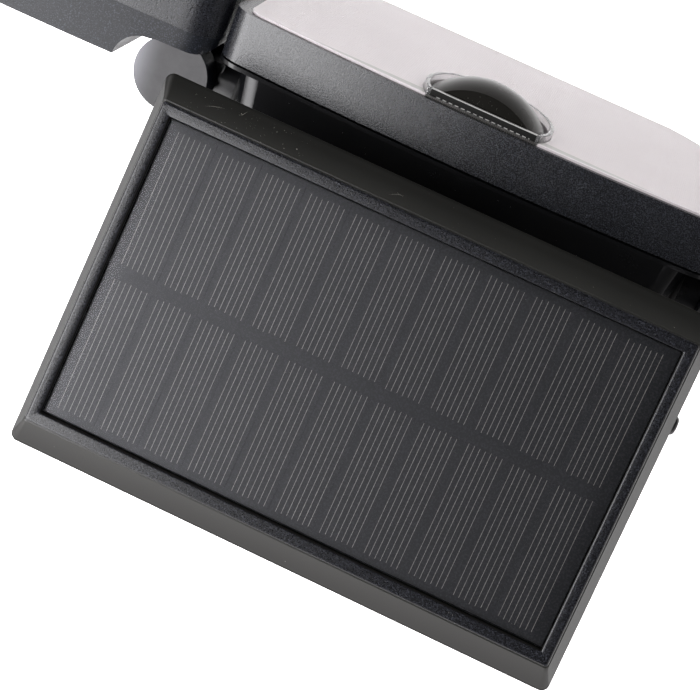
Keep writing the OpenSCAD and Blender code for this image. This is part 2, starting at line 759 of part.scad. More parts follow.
module side_lens() lens_form(side_outline, side_front_y, side_radii);
module side_reflector() color("whitesmoke")
    reflector_tray(side_outline, lamp_radii(6, 4), lamp_radii(5, 3), side_front_y,
        side_led_places);
module side_led_board() color("#dfe3e0")
    led_board(side_outline, lamp_radii(6, 4), side_front_y);
module side_leds() leds(side_front_y, side_led_places);

module pivot_screw() color("silver") {
    cyl_z(knuckle_bottom+0.6, 8.5, 4.4, knuckle_x, arm_y);
    cyl_z(8.4, 30.5, knuckle_pin_r, knuckle_x, arm_y);
}

module right_housing() side_housing();
module right_bezel() side_bezel();
module right_lens() side_lens();
module right_reflector() side_reflector();
module right_led_board() side_led_board();
module right_leds() side_leds();
module right_pivot_screw() pivot_screw();
module left_housing() mirror([1, 0, 0]) side_housing();
module left_bezel() mirror([1, 0, 0]) side_bezel();
module left_lens() mirror([1, 0, 0]) side_lens();
module left_reflector() mirror([1, 0, 0]) side_reflector();
module left_led_board() mirror([1, 0, 0]) side_led_board();
module left_leds() mirror([1, 0, 0]) side_leds();
module left_pivot_screw() mirror([1, 0, 0]) pivot_screw();

u_bracket();
friction_washers();
outer_washers();
rear_housing();
housing_gasket();
center_bezel();
bezel_screws();
center_lens();
center_reflector();
center_led_board();
center_leds();
pir_collar();
pir_dome();
pir_sensor();
control_board();
board_components();
battery_cells();
battery_holder();
knob_inserts();
arm_bushes();
panel_stand();
stand_screws();
hinge_bolt();
hinge_nut();
hinge_washers();
cable_gland();
mode_button();
right_lock_knob();
right_knob_screw();
left_lock_knob();
left_knob_screw();
panel_frame();
panel_back_cover();
laminate_board();
solar_cells();
front_film();
panel_gasket();
panel_screws();
panel_cable();
right_arm();
right_arm_clip();
right_arm_seal();
left_arm();
left_arm_clip();
left_arm_seal();
right_housing();
right_bezel();
right_lens();
right_reflector();
right_led_board();
right_leds();
right_pivot_screw();
left_housing();
left_bezel();
left_lens();
left_reflector();
left_led_board();
left_leds();
left_pivot_screw();
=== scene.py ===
"""Solar lamp: a body with a centre lens and a sensor dome, a side lamp on an arm at either hand,
and a solar panel on a stand above.

Z is up and the lamp's front looks along -Y. The panel is tilted about X so that its front edge is
the lower one. Blender works in metres; lengths with MM applied are written in millimetres.
Materials and stage are in metres throughout.
"""
import math
import random

import bpy
from mathutils import Matrix, Vector


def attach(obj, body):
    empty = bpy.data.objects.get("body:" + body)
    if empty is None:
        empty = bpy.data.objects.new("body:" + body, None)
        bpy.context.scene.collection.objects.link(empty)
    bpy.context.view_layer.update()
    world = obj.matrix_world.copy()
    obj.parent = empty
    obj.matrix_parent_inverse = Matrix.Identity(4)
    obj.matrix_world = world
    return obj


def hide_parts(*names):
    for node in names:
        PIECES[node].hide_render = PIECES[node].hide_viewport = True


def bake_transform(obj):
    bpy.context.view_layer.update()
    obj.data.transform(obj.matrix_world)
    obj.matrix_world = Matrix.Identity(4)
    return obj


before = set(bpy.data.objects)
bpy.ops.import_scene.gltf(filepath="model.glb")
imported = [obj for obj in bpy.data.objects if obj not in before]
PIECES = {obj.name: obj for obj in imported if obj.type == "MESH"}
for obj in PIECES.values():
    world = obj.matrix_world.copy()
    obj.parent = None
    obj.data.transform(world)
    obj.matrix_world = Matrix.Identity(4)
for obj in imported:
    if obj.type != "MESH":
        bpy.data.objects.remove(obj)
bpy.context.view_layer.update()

scene = bpy.context.scene
MM = 0.001

TILT = math.radians(19)
PANEL_CENTRE = Vector((0, -0.064, 0.081))       # metres, level with the top of the rim
PANEL = Matrix.Translation(PANEL_CENTRE) @ Matrix.Rotation(TILT, 4, "X")
CREASE = math.radians(32)                       # edges sharper than this are bevelled or split


# ---------------------------------------------------------------- shader graphs

NOISE_SPAN = (0.3, 0.7)     # nearly all of a noise texture's values fall in here


class Graph:
    """Builds a node tree. Wherever an input is given, it may be a number, a tuple or a socket."""

    def __init__(self, tree, space="Object"):
        self.tree = tree
        tree.nodes.clear()
        self.coords = self.add("TexCoord").outputs[space]

    def add(self, kind, inputs=None, **settings):
        made = self.tree.nodes.new("ShaderNode" + kind)
        for key, value in settings.items():
            setattr(made, key, value)
        for key, value in (inputs or {}).items():
            socket = made.inputs[key]
            if isinstance(value, bpy.types.NodeSocket):
                self.tree.links.new(value, socket)
            elif socket.type == "RGBA":
                socket.default_value = (*value, 1)
            else:
                socket.default_value = value
        return made

    def xyz(self):
        return self.add("SeparateXYZ", {0: self.coords}).outputs

    def noise(self, scale, detail, rough=0.55, at=None):
        where = self.coords if at is None else at
        return self.add("TexNoise", {"Vector": where, "Scale": scale, "Detail": detail,
                                     "Roughness": rough}).outputs["Fac"]

    def math(self, operation, *values):
        return self.add("Math", dict(enumerate(values)), operation=operation).outputs[0]

    def plus(self, a, b):
        return self.math("ADD", a, b)

    def minus(self, a, b):
        return self.math("SUBTRACT", a, b)

    def times(self, a, b):
        return self.math("MULTIPLY", a, b)

    def wave(self, value, period):
        return self.math("SINE", self.times(value, 2 * math.pi / period))

    def remap(self, value, over=NOISE_SPAN, to=(0.0, 1.0), curve="LINEAR"):
        """Carries the range `over` to the range `to`, clamped at both ends."""
        return self.add("MapRange", {"Value": value, "From Min": over[0], "From Max": over[1],
                                     "To Min": to[0], "To Max": to[1]},
                        interpolation_type=curve).outputs["Result"]

    def two_tone(self, fac, low, high):
        made = self.add("ValToRGB", {"Fac": fac})
        for stop, position, colour in zip(made.color_ramp.elements, NOISE_SPAN, (low, high)):
            stop.position = position
            stop.color = (*colour, 1)
        return made.outputs["Color"]

    def drift(self, fac, base, vary):
        """Base colour, varied by the given share darker and lighter."""
        return self.two_tone(fac, tuple(c * (1 - vary) for c in base),
                             tuple(c * (1 + vary) for c in base))

    def mix(self, fac, a, b):
        """Colour mix; a Mix node's colour sockets are inputs 6 and 7 and output 2."""
        return self.add("Mix", {0: fac, 6: a, 7: b}, data_type="RGBA").outputs[2]

    def speckle(self, scale, over, amount):
        return self.remap(self.noise(scale, detail=1, rough=0.4), over=over, to=(0.0, amount))

    def bump(self, height, strength, distance):
        return self.add("Bump", {"Strength": strength, "Distance": distance,
                                 "Height": height}).outputs["Normal"]

    def lean(self, normal, offset):
        """Normal pushed over by an offset vector."""
        total = self.add("VectorMath", {0: normal, 1: offset}, operation="ADD").outputs[0]
        return self.add("VectorMath", {0: total}, operation="NORMALIZE").outputs[0]

    def principled(self, inputs):
        return self.add("BsdfPrincipled", inputs).outputs[0]

    def mix_shader(self, fac, a, b):
        return self.add("MixShader", {0: fac, 1: a, 2: b}).outputs[0]

    def output(self, shader, kind="OutputMaterial"):
        self.add(kind, {0: shader})


def new_material(name):
    made = bpy.data.materials.new(name)
    made.use_nodes = True
    return made, Graph(made.node_tree)


# ---------------------------------------------------------------- general materials

def plastic(name, base, rough=0.45, rough_vary=0.08, vary=0.25, spec=0.5,
            grain=2200, grain_bump=0.25, grain_depth=0.00004, speck=None, lean=0.0):
    """Moulded plastic: a base colour that drifts a little, with fine grain in bump and roughness.

    speck: optional colour, scale and noise range of bright specks.
    lean: draft of the moulding, which tips its faces to the front.
    """
    made, g = new_material(name)
    cloud = g.noise(45, detail=4, rough=0.6)
    fine = g.noise(grain, detail=2, rough=0.6)
    colour = g.drift(cloud, base, vary)
    colour = g.mix(g.remap(fine, to=(0.0, 0.35)), colour, tuple(c * 1.5 for c in base))
    if speck:
        colour = g.mix(g.speckle(speck["scale"], speck["over"], amount=0.6),
                       colour, speck["colour"])
    normal = g.bump(fine, grain_bump, grain_depth)
    if lean:
        normal = g.lean(normal, (0, -lean, 0))
    g.output(g.principled({
        "Base Color": colour,
        "Roughness": g.plus(g.remap(fine, to=(-rough_vary, rough_vary)),
                            g.remap(cloud, to=(rough - 0.03, rough + 0.03))),
        "Normal": normal,
        "Specular IOR Level": spec,
        "Coat Roughness": 0.15}))
    return made


def metal(name, base, rough):
    """Bare metal, brushed by noise that is squeezed along Z."""
    made, g = new_material(name)
    squeezed = g.add("Mapping", {"Vector": g.coords, "Scale": (1, 1, 12)}).outputs[0]
    fine = g.noise(900, detail=3, rough=0.6, at=squeezed)
    g.output(g.principled({
        "Base Color": g.drift(fine, base, vary=0.12),
        "Roughness": g.remap(fine, to=(rough * 0.8, rough * 1.25)),
        "Normal": g.bump(fine, strength=0.2, distance=0.00003),
        "Metallic": 1.0}))
    return made


def plain(name, base, rough, scale=800, vary=0.15, coat=0.0):
    """One noise drives colour, roughness and bump."""
    made, g = new_material(name)
    fine = g.noise(scale, detail=3)
    g.output(g.principled({
        "Base Color": g.drift(fine, base, vary),
        "Roughness": g.remap(fine, to=(rough - 0.07, rough + 0.07)),
        "Normal": g.bump(fine, strength=0.15, distance=0.00003),
        "Coat Weight": coat}))
    return made


# ---------------------------------------------------------------- special materials

def frame_material():
    """Panel frame: speckled blue-grey rim, olive walls painted lighter towards it as a painted
    sheen, dull lower edge.
    """
    made, g = new_material("panel_frame_plastic")
    offset = g.add("VectorMath", {0: g.coords, 1: PANEL_CENTRE}, operation="SUBTRACT").outputs[0]
    panel_up = (0, -math.sin(TILT), math.cos(TILT))
    height = g.add("VectorMath", {0: offset, 1: panel_up},
                   operation="DOT_PRODUCT").outputs["Value"]
    fine = g.noise(2700, detail=2, rough=0.6)
    cloud = g.noise(45, detail=3, rough=0.6)
    wall = g.two_tone(cloud, (0.0060, 0.0061, 0.0052), (0.0070, 0.0071, 0.0061))
    # painted sheen: the wall colour is painted about three times lighter near the rim, standing
    # in for light
    near_rim_painted_sheen = g.two_tone(cloud, (0.0170, 0.0171, 0.0155), (0.0190, 0.0191, 0.0172))
    colour = g.mix(g.remap(height, over=(-0.0042, -0.0004)), wall, near_rim_painted_sheen)

    on_rim = g.remap(height, over=(-0.0006, -0.0002))
    specks = g.speckle(2600, over=(0.5, 0.72), amount=0.7)
    rim_colour = g.mix(specks, (0.0030, 0.0032, 0.0042), (0.034, 0.036, 0.045))
    colour = g.mix(on_rim, colour, rim_colour)

    # dust: small dots round cell centres, kept only where a second noise is high
    cells = g.add("TexVoronoi", {"Vector": g.coords, "Scale": 420}).outputs["Distance"]
    dots = g.remap(cells, over=(0.035, 0.06), to=(1.0, 0.0))
    kept = g.remap(g.noise(160, detail=0, rough=0.5), over=(0.60, 0.66), to=(0.0, 0.4))
    colour = g.mix(g.times(dots, kept), colour, (0.42, 0.41, 0.39))

    bump_strength = g.plus(g.times(on_rim, 0.55), 0.1)
    lower_edge_dulled = g.remap(height, over=(-0.0058, -0.0052), to=(0.12, 0.38))
    g.output(g.principled({
        "Base Color": colour,
        "Roughness": g.minus(g.remap(fine, to=(0.33, 0.40)), g.times(on_rim, 0.08)),
        "Specular IOR Level": g.plus(lower_edge_dulled, g.times(on_rim, 0.05)),
        "Normal": g.bump(fine, bump_strength, distance=0.00005)}))
    return made


def shell_material():
    """Side lamp's rear shell: blue-grey speckle, with a plain matt top on the knuckle plate that
    has a painted highlight towards its outer end.
    """
    made, g = new_material("side_housing_plastic")
    x, y, z = g.xyz()
    from_middle = g.math("ABSOLUTE", x)
    # the plate's top is a thin band of height behind this Y
    on_plate = g.times(g.remap(y, over=(-0.1118, -0.1112)),
                       g.times(g.remap(z, over=(0.0328, 0.0329)),
                               g.remap(z, over=(0.0331, 0.0332), to=(1.0, 0.0))))
    fine = g.noise(2400, detail=2, rough=0.6)
    specks = g.speckle(2900, over=(0.54, 0.74), amount=0.6)
    speckled = g.mix(specks, (0.0040, 0.0047, 0.0066), (0.048, 0.056, 0.074))
    cloud = g.noise(260, detail=3, rough=0.6)
    # painted highlight: the plate is painted paler towards its outer end
    painted_highlight_outward = g.remap(from_middle, over=(0.0855, 0.0935))
    matt = g.mix(g.times(painted_highlight_outward, painted_highlight_outward),
                 g.two_tone(cloud, (0.034, 0.0335, 0.035), (0.043, 0.0425, 0.044)),
                 (0.17, 0.17, 0.185))
    bump_strength = g.times(g.minus(1.0, on_plate), 0.6)
    g.output(g.principled({
        "Base Color": g.mix(on_plate, speckled, matt),
        "Roughness": g.plus(g.remap(fine, to=(0.38, 0.46)), g.times(on_plate, 0.12)),
        "Specular IOR Level": 0.26,
        "Normal": g.bump(fine, bump_strength, distance=0.00006)}))
    return made


def lens_material():
    """White lens with a fine crossed prism grid and a lined, clearer band by its arched edge."""
    made, g = new_material("lens_white")
    cloud = g.noise(30, detail=3, rough=0.5)
    colour = g.two_tone(cloud, (0.690, 0.636, 0.650), (0.735, 0.682, 0.696))

    # the arch and the band's width both fall off with the square of x
    x, _, z = g.xyz()
    x_squared = g.times(x, x)
    arch = g.minus(0.03755, g.times(x_squared, 0.81168))
    depth = g.minus(arch, z)
    width = g.minus(0.0042, g.times(x_squared, 1.25))
    band = g.times(g.remap(g.minus(width, depth), over=(0.0, 0.0003)),
                   g.remap(depth, over=(0.0007, 0.001)))
    lines = g.remap(g.wave(depth, period=0.0009), over=(-1, 1), to=(0.75, 1.0))
    colour = g.mix(g.times(band, lines), colour, (0.46, 0.455, 0.43))
    by_sensor = g.times(g.remap(g.math("ABSOLUTE", x), over=(0.0158, 0.0162), to=(1.0, 0.0)),
                        g.remap(z, over=(0.03682, 0.03688)))
    colour = g.mix(by_sensor, colour, (0.022, 0.022, 0.017))

    x, _, z = g.xyz()
    prism = 0.0011
    grid = g.times(g.wave(g.plus(x, z), prism), g.wave(g.minus(x, z), prism))
    colour = g.mix(g.remap(grid, over=(0.1, 0.8), to=(0.0, 0.10)), colour, (0.50, 0.455, 0.465))
    g.output(g.principled({
        "Base Color": colour,
        "Roughness": 0.38,
        "Subsurface Weight": 0.25,
        "Subsurface Radius": (0.004, 0.004, 0.004),
        "Subsurface Scale": 1.0,
        "Normal": g.bump(grid, strength=1.0, distance=0.00003)}))
    return made


def dome_material():
    """Smoke-dark sensor dome, duller on its flat top than below."""
    made, g = new_material("dome_smoke")
    cloud = g.noise(60, detail=2, rough=0.5)
    z = g.xyz()[2]
    g.output(g.principled({
        "Base Color": g.two_tone(cloud, (0.0052, 0.0050, 0.0043), (0.0070, 0.0068, 0.0060)),
        "Roughness": g.remap(cloud, to=(0.26, 0.31)),
        "Specular IOR Level": g.remap(z, over=(0.03585, 0.0359), to=(0.2, 0.04)),
        "Specular Tint": (1.0, 0.95, 0.86)}))
    return made


def collar_material():
    """Clear collar, with a dark top that carries a row of pale dashes and a pale front lip."""
    made, g = new_material("collar_clear")
    fine = g.noise(700, detail=2, rough=0.5)
    clear = g.principled({
        "Base Color": (0.95, 0.95, 0.955),
        "Transmission Weight": 0.95,
        "Roughness": g.remap(fine, to=(0.04, 0.1)),
        "IOR": 1.42})

    x, y, z = g.xyz()
    dash_pitch, dash_share = 0.00175, 0.6
    along = g.math("FRACT", g.times(g.plus(x, 0.1), 1 / dash_pitch))
    in_row = g.times(g.math("GREATER_THAN", y, -0.12775), g.math("LESS_THAN", y, -0.12735))
    dash = g.times(g.math("LESS_THAN", along, dash_share), in_row)
    dash = g.times(dash, g.math("LESS_THAN", g.math("ABSOLUTE", x), 0.0135))
    lip = g.math("LESS_THAN", y, -0.12925)
    colour = g.mix(dash, (0.008, 0.008, 0.0075), (0.42, 0.42, 0.41))
    colour = g.mix(lip, colour, (0.34, 0.34, 0.33))
    dark = g.principled({"Base Color": colour, "Roughness": 0.3, "Specular IOR Level": 0.12})

    on_top = g.times(g.math("GREATER_THAN", z, 0.03595),
                     g.math("LESS_THAN", g.math("ABSOLUTE", x), 0.0150))
    g.output(g.mix_shader(on_top, clear, dark))
    return made


def film_material():
    """Matt film over the cells: mostly see-through, with a soft grainy sheen on top.

    The mesh's "edge" attribute smooths the grain away towards the film's edge.
    """
    made, g = new_material("film_matt")
    see_through = g.add("BsdfTransparent", {0: (0.93, 0.93, 0.94)}).outputs[0]
    fine = g.noise(1750, detail=2, rough=0.6)
    edge = g.add("Attribute", attribute_name="edge").outputs["Fac"]
    inner = g.minus(1.0, edge)
    grain_rough = g.remap(fine, to=(0.40, 0.58))

    # the film rolls over a little more at its +X edge
    x = g.xyz()[0]
    tilt = g.times(g.remap(x, over=(0.0640, 0.0705), to=(0.0, 0.11)),
                   g.remap(x, over=(0.0640, 0.0700), to=(0.3, 1.0)))
    grain_normal = g.bump(g.times(fine, inner), strength=1.0, distance=0.000008)
    sheen = g.add("BsdfGlossy", {
        "Color": (0.62, 0.63, 0.66),
        "Roughness": g.plus(g.times(grain_rough, inner), g.times(edge, 0.36)),
        "Normal": g.lean(grain_normal, g.add("CombineXYZ", {0: tilt}).outputs[0])}).outputs[0]

    fresnel = g.add("Fresnel", {"IOR": 1.35}).outputs[0]
    grain = g.times(g.remap(fine, over=(0.34, 0.66), to=(-0.009, 0.009)), g.times(inner, inner))
    g.output(g.mix_shader(g.plus(fresnel, g.plus(grain, 0.0125)), see_through, sheen))
    return made


# ---------------------------------------------------------------- the set of materials

# what the two bezels share, and the centre one's and the side ones' own values are added below
BEZEL = dict(vary=0.04, grain=2900, grain_depth=0.00007)
BEZEL_SPECK = dict(scale=3100, over=(0.5, 0.72))
SILICON = dict(rough=0.5, vary=0.05, grain_bump=0.1, spec=0.25,
               speck=dict(colour=(0.030, 0.031, 0.036), scale=1900, over=(0.46, 0.66)))
# smooth, near-black moulding
SMOOTH = dict(vary=0.03, rough_vary=0.02)

MATERIALS = {
    "frame": frame_material(),
    "cover": plastic("panel_cover_plastic", (0.006, 0.0062, 0.0064), rough=0.5,
                     grain=1500, grain_bump=0.5),
    "housing": plastic("housing_plastic", (0.0030, 0.0032, 0.0036), rough=0.24,
                       grain_bump=0.03, spec=0.4, **SMOOTH),
    "side_housing": shell_material(),
    "bezel": plastic("bezel_plastic", (0.0050, 0.0053, 0.0066), rough=0.25, grain_bump=0.8,
                     speck=dict(colour=(0.042, 0.046, 0.056), **BEZEL_SPECK),
                     lean=0.08, spec=0.53, **BEZEL),
    "side_bezel": plastic("side_bezel_plastic", (0.0042, 0.0045, 0.0058), rough=0.31,
                          grain_bump=0.9,
                          speck=dict(colour=(0.042, 0.045, 0.056), **BEZEL_SPECK),
                          spec=0.42, **BEZEL),
    "arm": plastic("arm_plastic", (0.0030, 0.0032, 0.0040), rough=0.3,
                   grain_bump=0.04, spec=0.33, **SMOOTH),
    "stand": plastic("stand_plastic", (0.007, 0.0073, 0.008), rough=0.42,
                     grain=1700, grain_bump=0.4),
    "knob": plastic("knob_plastic", (0.006, 0.006, 0.0065), grain=1500, grain_bump=0.5),
    "bracket": plastic("bracket_powder_coat", (0.009, 0.0092, 0.0098),
                       grain=900, grain_bump=0.7, grain_depth=0.0001),
    "rubber": plastic("rubber", (0.012, 0.012, 0.012), rough=0.75,
                      grain=1200, grain_bump=0.5, spec=0.3),
    "button": plastic("button_rubber", (0.03, 0.03, 0.032), rough=0.7,
                      grain=1200, grain_bump=0.4, spec=0.3),
    "steel": metal("fastener_steel", (0.58, 0.58, 0.6), rough=0.28),
    "brass": metal("insert_brass", (0.72, 0.53, 0.22), rough=0.3),
    "can": metal("sensor_can", (0.7, 0.7, 0.72), rough=0.18),
    "reflector": plain("reflector_white", (0.8, 0.8, 0.79), rough=0.3),
    "led_board": plain("led_board_white", (0.75, 0.77, 0.75), rough=0.4),
    "led": plain("led_phosphor", (0.85, 0.72, 0.2), rough=0.4),
    "board": plain("board_green", (0.01, 0.12, 0.04), rough=0.35, coat=0.3),
    "parts": plain("component_black", (0.02, 0.02, 0.02), rough=0.5),
    "battery": plain("battery_wrap", (0.05, 0.16, 0.38), rough=0.3, coat=0.4),
    "holder": plain("holder_plastic", (0.02, 0.02, 0.022), rough=0.5),
    "nylon": plain("bush_nylon", (0.75, 0.74, 0.7), rough=0.45),
    "foam": plain("foam", (0.015, 0.015, 0.015), rough=0.9, scale=1500, vary=0.4),
    "cable": plain("cable_jacket", (0.012, 0.012, 0.013), rough=0.45, scale=500),
    "lens": lens_material(),
    "dome": dome_material(),
    "clear": collar_material(),
    "film": film_material(),
    "cell": plastic("cell_silicon", (0.0062, 0.0070, 0.0088), grain=1600, **SILICON),
    "laminate": plastic("laminate_dark", (0.0068, 0.0075, 0.0090), grain=2600, **SILICON),
    "finger": plain("finger_silver", (0.30, 0.285, 0.26), rough=0.5, scale=2200, vary=0.45),
}


# ---------------------------------------------------------------- CAD pieces

# Pieces by material. A piece of the right or left side is listed once, without its side.
PIECES_OF = {
    "bracket": "u_bracket",
    "rubber": "friction_washers housing_gasket cable_gland arm_seal",
    "steel": "outer_washers bezel_screws stand_screws hinge_bolt hinge_nut hinge_washers"
             " knob_screw panel_screws arm_clip pivot_screw",
    "housing": "rear_housing",
    "side_housing": "housing",
    "bezel": "center_bezel",
    "side_bezel": "bezel",
    "lens": "center_lens lens",
    "reflector": "center_reflector reflector",
    "led_board": "center_led_board led_board",
    "led": "center_leds leds",
    "clear": "pir_collar",
    "dome": "pir_dome",
    "can": "pir_sensor",
    "board": "control_board",
    "parts": "board_components",
    "battery": "battery_cells",
    "holder": "battery_holder",
    "brass": "knob_inserts",
    "nylon": "arm_bushes",
    "stand": "panel_stand",
    "button": "mode_button",
    "knob": "lock_knob",
    "frame": "panel_frame",
    "cover": "panel_back_cover",
    "laminate": "laminate_board",
    "cell": "solar_cells",
    "film": "front_film",
    "foam": "panel_gasket",
    "cable": "panel_cable",
    "arm": "arm",
}
# Pieces by bevel width in millimetres; the rest only have their sharp edges split.
BEVELLED = {
    0.6: "housing",
    0.5: "panel_back_cover panel_stand mode_button",
    0.4: "panel_frame arm lock_knob",
    0.35: "center_bezel bezel",
    0.3: "u_bracket center_lens lens cable_gland hinge_nut hinge_bolt rear_housing",
    0.25: "pir_dome",
    0.18: "pir_collar",
    0.15: "outer_washers",
    0.1: "laminate_board",
    0.06: "front_film",
}


def by_piece(table):
    return {piece: key for key, names in table.items() for piece in names.split()}


def weight_normals(obj, weight):
    modifier = obj.modifiers.new("weighted", "WEIGHTED_NORMAL")
    modifier.mode = "FACE_AREA"
    modifier.weight = weight


def bevel(obj, width):
    modifier = obj.modifiers.new("bevel", "BEVEL")
    modifier.width = width
    modifier.segments = 3
    modifier.limit_method = "ANGLE"
    modifier.angle_limit = CREASE
    modifier.use_clamp_overlap = True
    modifier.harden_normals = False
    weight_normals(obj, 90)


def finish_pieces():
    """Gives every CAD piece its material, soft edges and smooth shading."""
    material_of, bevel_of = by_piece(PIECES_OF), by_piece(BEVELLED)
    for name, obj in PIECES.items():
        piece = name.removeprefix("right_").removeprefix("left_")
        obj.data.materials.clear()
        obj.data.materials.append(MATERIALS[material_of[piece]])
        obj.modifiers.new("weld", "WELD").merge_threshold = 0.000002
        if piece in bevel_of:
            bevel(obj, bevel_of[piece] * MM)
        else:
            obj.modifiers.new("split", "EDGE_SPLIT").split_angle = CREASE
        for polygon in obj.data.polygons:
            polygon.use_smooth = True


finish_pieces()


# ---------------------------------------------------------------- mesh helpers

def mesh_object(name, verts, faces, material, body=None, matrix=None, smooth=True):
    """Object from vertices in metres; with a body, it rides on it."""
    mesh = bpy.data.meshes.new(name)
    mesh.from_pydata(verts, [], faces)
    mesh.validate()
    if matrix is not None:
        mesh.transform(matrix)
    obj = bpy.data.objects.new(name, mesh)
    scene.collection.objects.link(obj)
    mesh.materials.append(material)
    for polygon in mesh.polygons:
        polygon.use_smooth = smooth
    if body:
        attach(obj, body)
    return obj


def corner_ring(half_x, half_y, radius, z_x, z_y=None, steps=10, centre=(0.0, 0.0)):
    """Rounded rectangle, millimetres in and metres out.

    z_x is its height at the X sides and z_y at the Y sides, the same if left out.
    """
    if z_y is None:
        z_y = z_x
    points = []
    for quarter, (sign_x, sign_y) in enumerate(((1, 1), (-1, 1), (-1, -1), (1, -1))):
        for k in range(steps + 1):
            angle = math.radians(quarter * 90 + 90 * k / steps)
            c, s = math.cos(angle), math.sin(angle)
            points.append(((centre[0] + sign_x * (half_x - radius) + radius * c) * MM,
                           (centre[1] + sign_y * (half_y - radius) + radius * s) * MM,
                           (z_x * c * c + z_y * s * s) * MM))
    return points


def loft(rings, looped=False):
    """Skin over rings. Looped, the last ring joins the first; otherwise both ends are capped."""
    size, count = len(rings[0]), len(rings)
    verts = [point for ring in rings for point in ring]
    faces = []
    for i in range(count if looped else count - 1):
        a, b = i * size, ((i + 1) % count) * size
        for k in range(size):
            after = (k + 1) % size
            faces.append((a + k, a + after, b + after, b + k))
    if not looped:
        faces.append(tuple(reversed(range(size))))
        faces.append(tuple((count - 1) * size + k for k in range(size)))
    return verts, faces


# ---------------------------------------------------------------- panel sizes, millimetres
# In the panel's own frame: z = 0 at the top of the rim.

OPEN_X, OPEN_Y = 71.0, 41.6         # half the opening
RIM_WIDTH = 2.7
RIM_X, RIM_Y = OPEN_X + RIM_WIDTH, OPEN_Y + RIM_WIDTH
FLARE_X, FLARE_Y = 3.3, 7.8         # how far the wall flares out
FLARE_DROP = 5.8                    # and how far it falls
BASE_X, BASE_Y = RIM_X + FLARE_X, RIM_Y + FLARE_Y
SKIRT_Z = -10.5                     # bottom of the frame
FILM_TOP = -1.65


# ---------------------------------------------------------------- silver fingers on the cells

BOX_FACES = ((3, 2, 1, 0), (4, 5, 6, 7), (0, 1, 5, 4), (1, 2, 6, 5), (2, 3, 7, 6), (3, 0, 4, 7))


def cell_fingers():
    """Eleven columns from the +X end, each with seven fingers in two rows, slightly askew."""
    columns, column_pitch, first_inset = 11, 12.49, 3.66
    fingers, finger_pitch, half_width = 7, 1.53, 0.068
    row_spans = ((-38.8, -2.0), (2.0, 38.7))
    bottom, top = -1.978, -1.958
    wander = 0.25
    random.seed(7)
    verts, faces = [], []
    for column in range(columns):
        column_x = OPEN_X - first_inset - column * column_pitch
        skew = random.uniform(-wander, wander) * 0.5
        for k in range(fingers):
            x = column_x - k * finger_pitch
            # x at the start and end of the finger in each row
            ends = ((x - skew, x + skew), (x + skew, x))
            for (y0, y1), (x0, x1) in zip(row_spans, ends):
                shift = random.uniform(-wander, wander)
                first = len(verts)
                outline = ((x0 - half_width, y0 + shift), (x0 + half_width, y0 + shift),
                           (x1 + half_width, y1 + shift), (x1 - half_width, y1 + shift))
                verts += [(px * MM, py * MM, z * MM) for z in (bottom, top) for px, py in outline]
                faces += [tuple(first + i for i in face) for face in BOX_FACES]
    mesh_object("cell_fingers", verts, faces, MATERIALS["finger"],
                "solar_panel", PANEL, smooth=False)


cell_fingers()


# ---------------------------------------------------------------- panel frame

def turn(start, end, radius, t):
    """Point at share t of an arc that rounds a corner lying at (0, 0), as (outwards, up).

    The profile turns from start to end, in degrees below level.
    """
    half = math.radians(end - start) / 2
    begin = math.radians(start)
    tangent = radius * math.tan(half)
    centre_out = -math.cos(begin) * tangent - math.sin(begin) * radius
    centre_up = math.sin(begin) * tangent - math.cos(begin) * radius
    angle = begin + 2 * half * t
    return centre_out + radius * math.sin(angle), centre_up + radius * math.cos(angle)


def fillet(half_x, half_y, z, start, end, radius, corners, steps):
    """Rings that round the profile's corner at (half_x, half_y, z).

    start and end are angles for (X sides, Y sides); corners is the plan radius at either end.
    """
    rings = []
    for k in range(steps + 1):
        t = k / steps
        out_x, up_x = turn(start[0], end[0], radius, t)
        out_y, up_y = turn(start[1], end[1], radius, t)
        corner = corners[0] + (corners[1] - corners[0]) * t
        rings.append(corner_ring(half_x + out_x, half_y + out_y, corner, z + up_x, z + up_y))
    return rings


